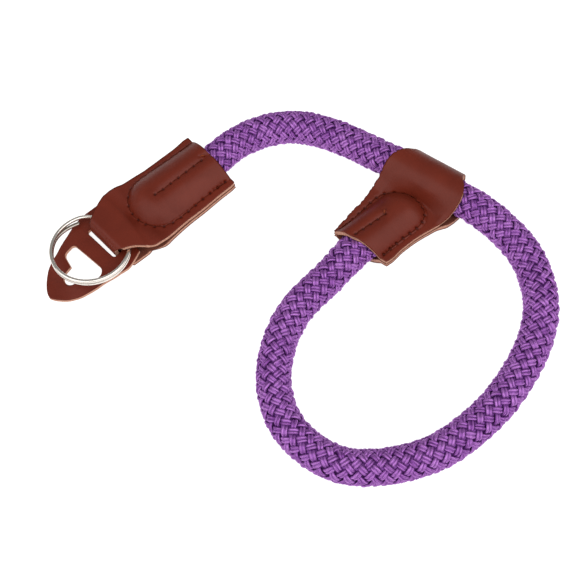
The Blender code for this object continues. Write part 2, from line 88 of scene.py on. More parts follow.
# Leather
LEATHER = 1.4
LAYER_GAP = 0.3
CLEARANCE = 0.3
RIM_ROUND = 0.22
RIM_WEAR = 0.06
SKIN_STEP = 0.23
POCKET_BEND = 0.42
POCKET_FULLNESS = 2.4
POCKET_FOOT = 1.1

# Seams. Rows in order: the U, the middle row, the knot, and the U's two doubled ends
KNOT_ROW = 2
HOLE_STRENGTH = (1.0, 1.0, 0.3, 0.5, 0.5)
HOLE_DEPTH = 0.5
HOLE_RADIUS = 0.46
GROOVE_DEPTH = 0.12
GROOVE_WIDTH = 0.5
PUCKER_DEPTH = 0.1
PUCKER_WIDTH = 1.5
SEAM_STEP = 0.15
SEAM_REACH = 2.0
SEAM_FAR = 9.0
DOUBLED_BACK = 0.45
DOUBLED_ASIDE = 0.15
THREAD_RADIUS = 0.2
THREAD_DIVE = 0.7
THREAD_SUNK = 0.24
THREAD_ROWS = 11
THREAD_SIDES = 8
KNOT_STAND = 0.2

# Split ring
RING_DIAMETER = 25.0
RING_WIRE = 1.15
COIL_GAP = 0.1
RING_Y = 24.8
RING_LEAN = 6.6
RING_TIP = 3.0
RING_START = 75.0
RING_STEP_ANGLE = 26.0
RING_SPREAD = 1.1
RING_SPREAD_ANGLE = 55.0
WIRE_SQUARENESS = 2.5
WIRE_STEPS = 420
WIRE_SIDES = 20

# Lug protector
PROTECTOR_LENGTH = 31.0
PROTECTOR_WIDTH = 24.8
PROTECTOR_Y = 25.4
PROTECTOR_TURN = 10.0
PROTECTOR_TIP_SHARE = 0.752
PROTECTOR_BAR = 4.8
TONGUE_WIDTH = 11.8
TONGUE_Y = 25.7
SLIT_FRONT = 2.0
SLIT_SPARE = 0.5
SLIT_SKEW = 0.05
KEYHOLE_SETBACK = 5.2
KEYHOLE_WIDTH = 14.0
KEYHOLE_BAR = 5.6
KEYHOLE_DEEPER = 1.7
KEYHOLE_STEM_WIDTH = 4.9
KEYHOLE_STEM = 4.9
PROTECTOR_DROP = 13.0
PROTECTOR_TIP_FLAT = 3.0
SLIT_ROWS = 18
KEYHOLE_ROWS = 26

# End tab
TAB_MOUTH_X = 5.4
TAB_AXIS_Y = 24.4
TAB_LENGTH = 41.5
FOLD_BLUNTNESS = 0.55
FOLD_SLANT = 0.097
FOLD_SLANT_REACH = 10.0

# The photograph's view: angles in degrees, the lens and the camera's place
CAMERA_DOWN = 65.0
CAMERA_TURN = -27.0
CAMERA_ROLL = -12.0
CAMERA_LENS = 72.36
CAMERA_PLACE = (-68.2, -152.9, 315.12)

# Lamps, in metres and degrees. Columns: name, way round, height, distance, size, power
LAMPS = (
    ("front_light", -75.0, 52.0, 0.8, 1.2, 6.0),
    ("side_light", 175.0, 48.0, 0.8, 1.0, 3.9),
)
LAMPS_AIM_Y = -0.03
SURROUNDINGS = 0.31
TABLE_REACH = 30.0
TABLE_TOP = -0.00005
TABLE_SHADE = 0.4
TABLE_GLOW = 0.88

# Places that follow from the sizes above
SLIDER_LIFT = LEATHER + CLEARANCE
TUNNEL_HEIGHT = ROPE_RADIUS + SLIDER_LIFT
POCKET_HEIGHT = LEATHER + CLEARANCE + SEWN_HEIGHT / 2
RING_HEIGHT = 2 * RING_WIRE + COIL_GAP
RING_RADIUS = (RING_DIAMETER - RING_WIRE) / 2
FOLD_TIP_X = TAB_MOUTH_X - TAB_LENGTH
SLIT_X = FOLD_TIP_X - CLEARANCE
TIP_X = SLIT_X - PROTECTOR_TIP_SHARE * PROTECTOR_LENGTH
BAR_FLOOR = LEATHER + CLEARANCE
RING_FLOOR = BAR_FLOOR + LEATHER + CLEARANCE
FOLD_OPENING = RING_FLOOR + RING_HEIGHT + 3.4 * CLEARANCE - LEATHER
TAB_ROLL_X = FOLD_TIP_X + FOLD_BLUNTNESS * (FOLD_OPENING / 2 + LEATHER)
BAR_X = FOLD_TIP_X + LEATHER + 1.6 * CLEARANCE + FOLD_BLUNTNESS * FOLD_OPENING / 6
RING_X = BAR_X + PROTECTOR_BAR + 2 * CLEARANCE - RING_DIAMETER / 2

# Half widths of each strap. Columns: share of the way from the fold to the mouth, low edge, high edge
TAB_OUTLINE = (
    (-0.08, -0.38, 0.54), (-0.03, -0.52, 0.61), (0.00, -0.58, 0.66), (0.04, -0.63, 0.75),
    (0.09, -0.72, 0.85), (0.13, -0.83, 0.92), (0.17, -0.94, 0.98), (0.22, -1.04, 1.00),
    (0.26, -1.06, 0.99), (0.36, -1.03, 0.96), (0.54, -0.97, 0.92), (0.70, -0.94, 0.95),
    (0.85, -0.90, 0.96), (0.96, -0.89, 1.00), (1.00, -0.87, 0.99),
)
SLIDER_OUTLINE = (
    (-0.20, -0.44, 0.60), (-0.14, -0.52, 0.75), (-0.10, -0.58, 0.82), (-0.03, -0.78, 0.91),
    (0.03, -0.90, 0.93), (0.10, -0.98, 0.92), (0.19, -1.03, 0.87), (0.28, -1.03, 0.81),
    (0.35, -1.00, 0.78), (0.42, -0.97, 0.73), (0.55, -0.93, 0.63), (0.65, -0.91, 0.60),
    (0.80, -0.90, 0.55), (0.93, -0.94, 0.49), (1.00, -0.93, 0.46),
)

# Columns: share of the length from the slit's middle, low edge, high edge
PROTECTOR_OUTLINE = (
    (-0.40, -0.72, 0.88), (-0.22, -0.81, 0.92), (-0.06, -0.92, 0.97), (0.04, -0.95, 0.95),
    (0.10, -0.91, 0.92), (0.19, -0.86, 0.86), (0.28, -0.79, 0.81), (0.37, -0.74, 0.75),
    (0.46, -0.66, 0.70), (0.54, -0.57, 0.63), (0.60, -0.47, 0.53), (0.66, -0.34, 0.40),
    (0.70, -0.21, 0.29), (0.735, -0.07, 0.16), (0.752, 0.04, 0.04),
)


def smooth_step(share):
    """0 to 1 with level ends, held outside."""
    held = np.clip(share, 0.0, 1.0)
    return held * held * (3.0 - 2.0 * held)


def unit(vectors):
    """Vectors of length one."""
    return vectors / np.maximum(np.linalg.norm(vectors, axis=-1, keepdims=True), 1e-12)


def square_to(vectors, along):
    """Vectors of length one, with their part along a direction taken out."""
    return unit(vectors - (vectors * along).sum(axis=-1, keepdims=True) * along)


def spokes(angle, wide, high, sideways, upward):
    """Round a line's section: the cosine times wide sideways, and the sine times high upwards."""
    return (np.cos(angle) * wide)[..., None] * sideways + (np.sin(angle) * high)[..., None] * upward


def run_of(points):
    """Distance along a line of points, from its first."""
    steps = np.linalg.norm(np.diff(points, axis=0), axis=1)
    return np.concatenate([[0.0], np.cumsum(steps)])


def read_line(points, places):
    """Points at given distances along a line."""
    run = run_of(points)
    return np.stack([np.interp(places, run, column) for column in np.asarray(points).T], axis=-1)


def smooth_curve(points, samples):
    """Natural cubic curve through the points, read at even shares of the sum of their chords."""
    points = np.asarray(points, float)
    run = run_of(points)
    step = np.diff(run)
    count = len(points)
    left = np.eye(count)
    right = np.zeros_like(points)
    for row in range(1, count - 1):
        left[row, row - 1 : row + 2] = step[row - 1], 2 * (step[row - 1] + step[row]), step[row]
        slopes = np.diff(points[row - 1 : row + 2], axis=0) / step[row - 1 : row + 1, None]
        right[row] = 6 * (slopes[1] - slopes[0])
    bend = np.linalg.solve(left, right)
    along = np.linspace(0.0, 1.0, samples) * run[-1]
    cell = np.clip(np.searchsorted(run, along, side="right") - 1, 0, count - 2)
    wide = step[cell][:, None]
    after = (along - run[cell])[:, None]
    before = wide - after
    return (
        bend[cell] * before**3 / (6 * wide)
        + bend[cell + 1] * after**3 / (6 * wide)
        + (points[cell] / wide - bend[cell] * wide / 6) * before
        + (points[cell + 1] / wide - bend[cell + 1] * wide / 6) * after
    )


def ripple(points, length, seed):
    """Soft uneven field from -1 to 1: the mean of six plane sine waves in seeded directions."""
    draw = np.random.default_rng(seed)
    ways = unit(draw.normal(size=(6, points.shape[-1]))) * draw.uniform(0.6, 1.6, (6, 1))
    turns = np.tensordot(points, ways.T, axes=1) * (2 * math.pi / length)
    return np.sin(turns + draw.uniform(0, 2 * math.pi, 6)).mean(axis=-1) * 1.6


# The rope's line


def rope_x(y):
    """x of the running rope at y, inside and near the slider."""
    line = smooth_curve(ROUTE[6:13], 60)
    return np.interp(-np.asarray(y, float), -line[:, 1], line[:, 0])


# Each strap's sizes and places. s runs from the fold's axis to the mouth, v across, and rows of
# holes are places s, v. origin is s = v = 0, toward the way of s along x, and reach s at the mouth.
# The fold has fold_radius inside it and fold_height at its middle. fold_scale stretches it along
# s, fold_flat is where it starts to close, and fold_slant its skew. The pocket is seam_depth deep
# from the mouth and seam_width wide round the line seam_v, and seam_skew is its closed end's skew.
# slant is the mouth's skew. The lower layer's outline is read up to lower_lag nearer to the fold,
# and its low edge is at least lower_edge out. ragged is the depth of bites in the high edge, and
# pitch the way from hole to hole.
TAB = SimpleNamespace(
    origin=(TAB_ROLL_X, TAB_AXIS_Y), toward=1, reach=TAB_MOUTH_X - TAB_ROLL_X, width=23.9,
    outline=TAB_OUTLINE, fold_radius=FOLD_OPENING / 2, fold_scale=FOLD_BLUNTNESS,
    fold_height=FOLD_OPENING / 2 + LEATHER,
    fold_flat=BAR_X + PROTECTOR_BAR + 4 * CLEARANCE - TAB_ROLL_X,
    seam_depth=29.4, seam_width=18.4, seam_v=25.1 - TAB_AXIS_Y, seam_skew=0.0, slant=-0.07,
    lower_lag=0.08, lower_edge=9.6, fold_slant=FOLD_SLANT, ragged=0.0, pitch=2.9,
    middle_row=((18.2, 0.05), (36.2, 0.65)), knot=((36.5, 2.1), (38.4, 1.3)),
    u_row=((38.1, -8.3), (28.4, -8.7), (19.5, -9.4), (14.5, -8.5), (11.0, -4.7), (9.8, 0.5),
           (10.7, 5.0), (13.4, 7.9), (18.0, 9.1), (28.0, 9.2), (38.1, 9.4)),
)
SLIDER_Y = -25.0
SLIDER = SimpleNamespace(
    origin=(float(rope_x(SLIDER_Y)), SLIDER_Y), toward=-1, reach=30.8, width=25.6,
    outline=SLIDER_OUTLINE, fold_radius=ROPE_RADIUS + CLEARANCE,
    fold_scale=math.hypot(float(rope_x(SLIDER_Y + 1) - rope_x(SLIDER_Y - 1)) / 2, 1.0),
    fold_height=TUNNEL_HEIGHT, fold_flat=0.0,
    seam_depth=23.1, seam_width=15.2, seam_v=-27.3 - SLIDER_Y, seam_skew=0.15, slant=0.0,
    lower_lag=0.0, lower_edge=0.0, fold_slant=0.0, ragged=0.35, pitch=2.6,
    middle_row=((19.0, -1.1), (29.4, -0.4)), knot=((17.7, 0.1), (19.1, -1.0)),
    u_row=((29.2, -9.5), (20.9, -9.2), (15.9, -9.2), (12.9, -8.5), (10.8, -6.9), (9.1, -3.6),
           (8.3, 0.0), (8.7, 2.9), (9.9, 5.2), (12.4, 6.3), (18.5, 6.0), (24.0, 5.4), (29.2, 5.0)),
)


def rope_line(samples):
    """Centre line of the rope from its end in the tab to its end in the slider."""
    route = [(x, y, ROPE_RADIUS + share * SLIDER_LIFT) for x, y, share in ROUTE]
    tab_end = TAB_MOUTH_X - TAB.seam_depth + ROPE_END_SETBACK * TAB.seam_width
    seam_y = SLIDER_Y + SLIDER.seam_v
    mouth = rope_x(seam_y) - SLIDER.reach
    slider_end = mouth + SLIDER.seam_depth - ROPE_END_SETBACK * SLIDER.seam_width
    before = [(x, TAB_AXIS_Y + TAB.seam_v, POCKET_HEIGHT) for x in np.linspace(tab_end, TAB_MOUTH_X, 4)]
    after = [(x, seam_y, POCKET_HEIGHT) for x in np.linspace(mouth, slider_end, 3)]
    return smooth_curve(before + route + after, samples)


# Straps as functions of s, from the fold to the mouth, and v, across


def pocket_share(strap, s, v):
    """1 over the middle of the sewn-in rope and 0 at the seam, which is a U open at the mouth."""
    depth = strap.reach - strap.seam_depth
    bend = POCKET_BEND * strap.seam_width
    s = s + strap.seam_skew * (v - strap.seam_v)
    ahead = np.clip((depth + bend - s) / bend, 0.0, None)
    across = (v - strap.seam_v) / (strap.seam_width / 2)
    away = np.clip(np.hypot(ahead, across), 0.0, 1.0)
    return (1.0 - away**POCKET_FULLNESS) ** POCKET_FOOT


def seam_dip(strap, s, v):
    """How far the row of stitches along the rope's middle pulls the leather and the rope in."""
    (start, first), (end, last) = strap.middle_row
    row = np.interp(s, (start, end), (first, last))
    along = smooth_step((s - start + 1.0) / (0.2 * strap.seam_width))
    return SEAM_DIP * along * np.exp(-(((v - row) / SEAM_DIP_WIDTH) ** 2))


def half_spread(strap, s, v):
    """Height of the upper layer's middle over the middle between the two layers.

    Round the fold it is an arc, then the arc's tangent down to the seam, and over the sewn-in
    rope the pocket's rise is added.
    """
    seam_s = strap.reach - strap.seam_depth
    across = (v - strap.seam_v) / (strap.seam_width / 2)
    pinch = seam_s + 0.22 * strap.seam_width * np.clip(across**2, 0.0, 1.6)
    radius = strap.fold_radius + LEATHER / 2
    reach = np.maximum(pinch - strap.fold_flat, 1.05 * radius * strap.fold_scale)
    lean = np.arccos(np.clip(radius * strap.fold_scale / reach, -1.0, 1.0))
    past = np.clip(s - strap.fold_flat, 0.0, None) / strap.fold_scale
    arc = np.sqrt(np.clip(radius**2 - past**2, 0.0, None))
    touch = radius * np.cos(lean)
    line = radius * np.sin(lean) * (reach / strap.fold_scale - past)
    line = line / np.maximum(reach / strap.fold_scale - touch, 1e-6)
    fold = np.where(past < touch, arc, line)
    closed = (LAYER_GAP + LEATHER) / 2
    soft = 0.5 * (fold + closed + np.sqrt((fold - closed) ** 2 + 0.2))
    share = smooth_step(1.4 * past / np.maximum(touch, 1e-6))
    fold = fold + share * (np.maximum(fold, soft) - fold)
    rise = (SEWN_HEIGHT - LAYER_GAP) / 2 + CLEARANCE
    bulge = np.clip(rise * pocket_share(strap, s, v) - seam_dip(strap, s, v), 0.0, None)
    return np.maximum(fold, closed) + bulge


def middle_height(strap, s):
    """Height of the middle between the two layers."""
    seam_s = strap.reach - strap.seam_depth
    start = max(strap.fold_flat, 0.8 * strap.fold_radius * (strap.toward < 0))
    share = smooth_step((s - start) / (1.15 * seam_s - start))
    return strap.fold_height + share * (POCKET_HEIGHT - strap.fold_height)


def edges_of(strap, share):
    """Low and high edge at a share of the way to the mouth, the table's corners softened."""
    table = np.array(strap.outline)
    spread = np.linspace(-0.02, 0.02, 21)
    weight = np.cos(spread / 0.02 * math.pi / 2) + 1e-3
    places = np.clip(share[..., None] + spread, table[0, 0], 1.0)
    read = [np.interp(places, table[:, 0], table[:, column]) @ weight for column in (1, 2)]
    return [column / weight.sum() * strap.width / 2 for column in read]


def strap_place(strap, s, v, z):
    """Turns s, v and z into x, y and z. A strap on the running rope follows the rope's own line."""
    x, y = strap.origin
    if strap.toward < 0:
        x = rope_x(y + v)
    skew = strap.fold_slant * v * (1.0 - smooth_step(s / FOLD_SLANT_REACH))
    return np.stack([x + strap.toward * s - skew, y + v, z * np.ones_like(v)], axis=-1)


def layer_point(strap, s, v, side):
    """Middle of the leather of the upper layer, side 1, or of the lower one, side -1."""
    return strap_place(strap, s, v, middle_height(strap, s) + side * half_spread(strap, s, v))


def strap_grid(strap):
    """Middle of the leather on a grid, with each point's s, v and side.

    Rows run from the upper mouth to the fold, round it by angle, and back to the lower mouth.
    """
    radius = strap.fold_radius + LEATHER / 2
    across = np.linspace(0.0, 1.0, int(strap.width / SKIN_STEP) + 1)
    flat = np.linspace(1.0, 0.0, int(strap.reach / SKIN_STEP) + 1)
    angle = np.linspace(0.0, math.pi, int(math.pi * radius / SKIN_STEP) + 1)[1:-1]
    deepest = strap.outline[0][0]
    late = strap.lower_lag * (angle > math.pi / 2)
    parts = []
    for side, share, read_at, wider in (
        (1, flat, flat, 0.0 * flat),
        (0, deepest * np.sin(angle), deepest * np.sin(angle) - late, np.clip(8 * angle / math.pi - 7, 0, 1)),
        (-1, flat[::-1], flat[::-1] - strap.lower_lag * flat, 1.0 + 0.0 * flat),
    ):
        low, high = edges_of(strap, read_at)
        low = low + wider * (np.minimum(low, -strap.lower_edge) - low)
        run = np.stack([share * strap.reach, 0.0 * share + side], axis=-1)
        bites = strap.ragged * (side >= 0) * np.clip(ripple(run, 1.9, 15) + 0.1, 0.0, 0.8)
        v = low[:, None] + across * (high - low)[:, None] + 0.1 * ripple(run, 17.0, 5)[:, None]
        v = v - bites[:, None] * smooth_step((across - 0.8) / 0.2)
        if side:
            s = share[:, None] * (strap.reach + strap.slant * v)
            point = layer_point(strap, s, v, side)
        else:
            s = -strap.fold_scale * radius * np.sin(angle)[:, None] * np.ones_like(v)
            height = strap.fold_height + radius * np.cos(angle)[:, None]
            point = strap_place(strap, s, v, height)
        parts.append((point, s, v, np.full_like(v, side)))
    return [np.concatenate(column) for column in zip(*parts)]


def holes_of(strap):
    """Places of the needle's holes: the U, the middle row, the knot, and the U's doubled ends."""
    guide = smooth_curve(strap.u_row, CURVE_SAMPLES)
    found = []
    for line in (guide, np.array(strap.middle_row)):
        length = run_of(line)[-1]
        found.append(read_line(line, np.linspace(0.0, length, int(round(length / strap.pitch)) + 1)))
    back = DOUBLED_BACK * strap.pitch
    ends = [found[0][:2] + (-back, DOUBLED_ASIDE), found[0][-2:] + (-back, -DOUBLED_ASIDE)]
    return [*found, np.array(strap.knot), *ends]


def seam_relief(strap, s, v):
    """How far the seams press the skin in, and the painted shade in each needle hole.

    A groove and a wider soft pucker follow the rows, and every hole is a deeper round dip. All
    three fall off as exp(-(distance / width) squared). The holes' painted shade follows the dips.
    """
    flat = np.column_stack([s.ravel(), v.ravel()])
    depth = np.zeros(len(flat))
    dark = np.zeros(len(flat))
    for row, holes in enumerate(holes_of(strap)):
        dense = read_line(holes, np.arange(0.0, run_of(holes)[-1], SEAM_STEP))
        low, high = dense.min(axis=0) - SEAM_REACH, dense.max(axis=0) + SEAM_REACH
        near = ((flat >= low) & (flat <= high)).all(axis=1)
        away, to_hole = np.full((2, len(flat)), SEAM_FAR)
        for chunk in np.array_split(np.flatnonzero(near), 12):
            away[chunk] = np.linalg.norm(flat[chunk, None] - dense, axis=2).min(axis=1)
            to_hole[chunk] = np.linalg.norm(flat[chunk, None] - holes, axis=2).min(axis=1)
        groove = GROOVE_DEPTH * np.exp(-((away / GROOVE_WIDTH) ** 2))
        pucker = PUCKER_DEPTH * np.exp(-((away / PUCKER_WIDTH) ** 2))
        pits = HOLE_STRENGTH[row] * np.exp(-((to_hole / HOLE_RADIUS) ** 2))
        depth = np.maximum(depth, groove + pucker + HOLE_DEPTH * pits)
        # The darkness of the holes is painted shade.
        dark = np.maximum(dark, pits)
    return depth.reshape(s.shape), dark.reshape(s.shape)


# Meshes and objects


def add_object(name, data):
    """A new object in the scene."""
    thing = bpy.data.objects.new(name, data)
    bpy.context.scene.collection.objects.link(thing)
    return thing


def grid_quads(rows, columns, ring=False):
    """Faces of a grid of points. With ring, the last column joins the first."""
    row, column = np.meshgrid(np.arange(rows - 1), np.arange(columns - (not ring)), indexing="ij")
    here = row * columns + column
    right = row * columns + (column + 1) % columns
    return np.stack([here, right, right + columns, here + columns], axis=-1).reshape(-1, 4)


def tube_faces(tubes, rows, sides, inverted=False):
    """Faces of closed tubes, each a grid joined round, with a cap at each end."""
    shift = (np.arange(tubes) * rows * sides)[:, None]
    round_once = np.arange(sides)
    quads = grid_quads(rows, sides, ring=True) + shift[..., None]
    caps = [round_once[::-1] + shift, round_once + (rows - 1) * sides + shift]
    faces = [quads.reshape(-1, 4), *caps]
    return [face[:, ::-1] for face in faces] if inverted else faces


def make_piece(name, points, faces, finish, stands_for, values):
    """A smooth mesh piece that rides on the root. values are spread over its points, by name."""
    mesh = bpy.data.meshes.new(name)
    mesh.vertices.add(points.size // 3)
    mesh.vertices.foreach_set("co", (points * MM).astype(np.float32).ravel())
    corners = np.concatenate([face.ravel() for face in faces]).astype(np.int32)
    sizes = np.concatenate([np.full(len(face), face.shape[1]) for face in faces])
    starts = np.concatenate([[0], np.cumsum(sizes)[:-1]]).astype(np.int32)
    mesh.loops.add(len(corners))
    mesh.loops.foreach_set("vertex_index", corners)
    mesh.polygons.add(len(sizes))
    mesh.polygons.foreach_set("loop_start", starts)
    mesh.update(calc_edges=True)
    for key, numbers in values.items():
        layer = mesh.attributes.new(key, "FLOAT", "POINT")
        spread = np.broadcast_to(numbers, points.shape[:-1])
        layer.data.foreach_set("value", spread.astype(np.float32).ravel())
    mesh.shade_smooth()
    mesh.materials.append(finish)
    piece = add_object(name, mesh)
    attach(piece, "root")
    if stands_for:
        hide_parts(*stands_for)
    return piece


def leather_solid(points, quads, normals, relief, dark):
    """Leather of even thickness on both sides of a surface, with rounded cut edges.

    The skin is the surface moved out by half the thickness less the relief, the flesh side the
    surface moved in by half, and five rows round every open edge join them. A row is a height
    over the middle, with its shares of the rim's radius inwards and towards the middle.
    Returns the points, the faces and three values a point: rim, flesh and the painted shade of the holes.
    """
    count = len(points)
    starts = quads.ravel()
    ends = np.roll(quads, -1, axis=1).ravel()
    key = starts.astype(np.int64) * count + ends
    open_edge = ~np.isin(ends.astype(np.int64) * count + starts, key)
    first, last = starts[open_edge], ends[open_edge]
    ahead = unit(points[last] - points[first])
    outward = np.zeros((count, 3))
    np.add.at(outward, first, np.cross(ahead, normals[first]))
    np.add.at(outward, last, np.cross(ahead, normals[last]))
    border = np.flatnonzero(np.isin(np.arange(count), first))
    outward[border] = unit(outward[border])
    place = np.full(count, -1)
    place[border] = np.arange(len(border))
    half = LEATHER / 2
    inset = outward * RIM_ROUND
    skin = points + normals * (half - relief)[:, None] - inset
    flesh = points - normals * half - inset
    rim_rows = ((half, 0.3, 0.3), (half, 0.0, 1.0), (0.0, -0.04, 1.0), (-half, 0.0, 1.0), (-half, 0.3, 0.3))
    rows = []
    for depth, inward, down in rim_rows:
        level = depth - np.sign(depth) * RIM_ROUND * down
        worn = RIM_WEAR * ripple(points[border], 1.3, 21 + len(rows))
        move = -inward * RIM_ROUND + (worn if abs(depth) < half else 0.4 * worn)
        rows.append(points[border] + normals[border] * level + outward[border] * move[:, None])
    made = np.concatenate([skin, flesh, *rows])
    edge = len(border)
    chain = [first, *(2 * count + k * edge + place[first] for k in range(5)), count + first]
    after = [last, *(2 * count + k * edge + place[last] for k in range(5)), count + last]
    rims = [
        np.stack([a1, a0, b0, b1], axis=1)
        for a0, a1, b0, b1 in zip(chain[:-1], after[:-1], chain[1:], after[1:])
    ]
    faces = [quads, quads[:, ::-1] + count, *rims]
    rows_of_rim = [np.full(edge, 0.35), np.ones(3 * edge), np.full(edge, 0.9)]
    values = {
        "rim": np.concatenate([np.zeros(2 * count), *rows_of_rim]),
        "flesh": np.concatenate([np.zeros(count), np.ones(count), np.zeros(5 * edge)]),
        # Painted shade of the needle holes, on the skin only.
        "hole_shade": np.concatenate([dark, np.zeros(count + 5 * edge)]),
    }
    return made, faces, values


def grid_normals(grid, sign):
    """Normals of a grid of points, from its two directions."""
    return sign * unit(np.cross(np.gradient(grid, axis=0), np.gradient(grid, axis=1)))


# Shader helpers


def feed(tree, socket, value):
    """Links a socket to another, or sets its value."""
    if isinstance(value, bpy.types.NodeSocket):
        tree.links.new(value, socket)
    else:
        socket.default_value = value


def put(tree, kind, settings=None, **inputs):
    """Adds a node. settings are its own properties, and inputs its sockets: values or links."""
    node = tree.nodes.new(kind)
    for name, value in (settings or {}).items():
        setattr(node, name, value)
    for name, value in inputs.items():
        socket = node.inputs[int(name[1:])] if name[0] == "_" else node.inputs[name.replace("_", " ")]
        feed(tree, socket, value)
    return node


def sums(tree, operation, first, second=0.5, third=0.5):
    """A Math node's result."""
    settings = {"operation": operation}
    return put(tree, "ShaderNodeMath", settings, _0=first, _1=second, _2=third).outputs[0]


def mix_colours(tree, share, first, second):
    """A colour between two, each a link or red, green and blue."""
    node = put(tree, "ShaderNodeMix", {"data_type": "RGBA"}, _0=share)
    for socket, value in ((node.inputs[6], first), (node.inputs[7], second)):
        feed(tree, socket, (*value, 1.0) if isinstance(value, tuple) else value)
    return node.outputs[2]


def mix_values(tree, share, first, second):
    """A number between two."""
    return put(tree, "ShaderNodeMix", None, _0=share, _2=first, _3=second).outputs[0]


def band(tree, value, low, high, to_low=0.0, to_high=1.0):
    """A value read from one range into another, held at both ends."""
    inputs = {"_0": value, "_1": low, "_2": high, "_3": to_low, "_4": to_high}
    return put(tree, "ShaderNodeMapRange", {"clamp": True}, **inputs).outputs[0]


def value_of(tree, name):
    """The piece's own value of that name."""
    return put(tree, "ShaderNodeAttribute", {"attribute_name": name}).outputs["Fac"]


def object_place(tree):
    """Object coordinates."""
    return put(tree, "ShaderNodeTexCoord").outputs["Object"]


def noise(tree, place, scale, detail=2.0, roughness=0.5, distortion=0.0):
    """A Noise texture's value."""
    inputs = {"Vector": place, "Scale": scale, "Detail": detail, "Roughness": roughness}
    return put(tree, "ShaderNodeTexNoise", None, Distortion=distortion, **inputs).outputs["Fac"]


def effect(name):
    """An empty shared node group that takes a Size and gives a Height and a Tone."""
    group = bpy.data.node_groups.new(name, "ShaderNodeTree")
    for label, side in (("Size", "INPUT"), ("Height", "OUTPUT"), ("Tone", "OUTPUT")):
        group.interface.new_socket(label, in_out=side, socket_type="NodeSocketFloat")
    return group, group.nodes.new("NodeGroupInput").outputs, group.nodes.new("NodeGroupOutput").inputs


def finish_named(name, **sockets):
    """A material and its Principled shader, with constant sockets set."""
    material = bpy.data.materials.new(name)
    material.use_nodes = True
    shader = material.node_tree.nodes["Principled BSDF"]
    for label, value in sockets.items():
        shader.inputs[label.replace("_", " ")].default_value = value
    return material, material.node_tree, shader


def grain_effect():
    """Skin grain: fine pebbles and pores as Height, and slow cloudy Tone."""
    group, taken, given = effect("skin_grain")
    place = object_place(group)
    size = sums(group, "MULTIPLY", taken["Size"], 1800.0)
    inputs = {"Vector": place, "Scale": size, "Smoothness": 0.4, "Randomness": 1.0}
    pebbles = put(group, "ShaderNodeTexVoronoi", {"feature": "SMOOTH_F1"}, **inputs).outputs["Distance"]
    folds = noise(group, place, 420.0, 4.0, 0.6)
    cloud = noise(group, place, 95.0, 3.0, 0.55, 0.6)
    group.links.new(sums(group, "MULTIPLY_ADD", pebbles, -0.5, folds), given["Height"])
    group.links.new(band(group, cloud, 0.3, 0.7), given["Tone"])
    return group


def fibre_effect():
    """Raw cut leather: loose short fibres as Height, and pale specks as Tone."""
    group, taken, given = effect("raw_fibres")
    place = object_place(group)
    tufts = noise(group, place, sums(group, "MULTIPLY", taken["Size"], 2600.0), 5.0, 0.7, 1.2)
    layers = noise(group, place, 600.0, 2.0)
    group.links.new(sums(group, "ADD", tufts, layers), given["Height"])
    group.links.new(band(group, tufts, 0.35, 0.7), given["Tone"])
    return group


def give_surface(tree, shader, colour, height, strength, distance):
    """Links the shader's colour, and its normal, bent by a height times a distance in metres."""
    bump = put(tree, "ShaderNodeBump", None, Height=height, Strength=strength, Distance=distance)
    tree.links.new(colour, shader.inputs["Base Color"])
    tree.links.new(bump.outputs[0], shader.inputs["Normal"])


def place_effect(tree, group, size):
    """A shared effect in a material, at a size. Returns its outputs."""
    node = tree.nodes.new("ShaderNodeGroup")
    node.node_tree = group
    node.inputs["Size"].default_value = size
    return node.outputs


def leather_finish(name, grain, fibres):
    """Smooth waxed leather: brown skin with painted shade in its needle holes, tan cut edges, and a suede
    flesh side kept dark partly as painted shade inside the folds.
    """
    material, tree, shader = finish_named(name, Coat_Roughness=0.3, Specular_IOR_Level=0.16)
    rim, flesh, hole_shade = (value_of(tree, key) for key in ("rim", "flesh", "hole_shade"))
    skin = place_effect(tree, grain, 1.0)
    raw = place_effect(tree, fibres, 1.0)
    brown = mix_colours(tree, skin["Tone"], (0.112, 0.0135, 0.0055), (0.142, 0.019, 0.0085))
    # Painted shade: the needle holes darkened nearly to black.
    brown = mix_colours(tree, band(tree, hole_shade, 0.2, 0.6, 0.0, 0.9), brown, (0.046, 0.004, 0.001))
    tan = mix_colours(tree, raw["Tone"], (0.34, 0.14, 0.088), (0.68, 0.40, 0.29))
    # The flesh side's own suede brown, made dark partly as painted shade for the inside of the folds.
    suede = mix_colours(tree, raw["Tone"], (0.11, 0.028, 0.016), (0.19, 0.062, 0.038))
    inner, cut = band(tree, flesh, 0.3, 0.7), band(tree, rim, 0.4, 0.85)
    colour = mix_colours(tree, inner, brown, suede)
    bare = sums(tree, "MAXIMUM", inner, cut)
    unwaxed = sums(tree, "MAXIMUM", bare, band(tree, hole_shade, 0.1, 0.4))
    rough = band(tree, skin["Tone"], 0.0, 1.0, 0.5, 0.42)
    rough = mix_values(tree, bare, rough, 0.9)
    grainy = sums(tree, "MULTIPLY", skin["Height"], 0.6)
    height = mix_values(tree, bare, grainy, raw["Height"])
    give_surface(tree, shader, mix_colours(tree, cut, colour, tan), height, 0.7, 0.00012)
    tree.links.new(rough, shader.inputs["Roughness"])
    tree.links.new(sums(tree, "MULTIPLY_ADD", unwaxed, -0.09, 0.09), shader.inputs["Coat Weight"])
    return material


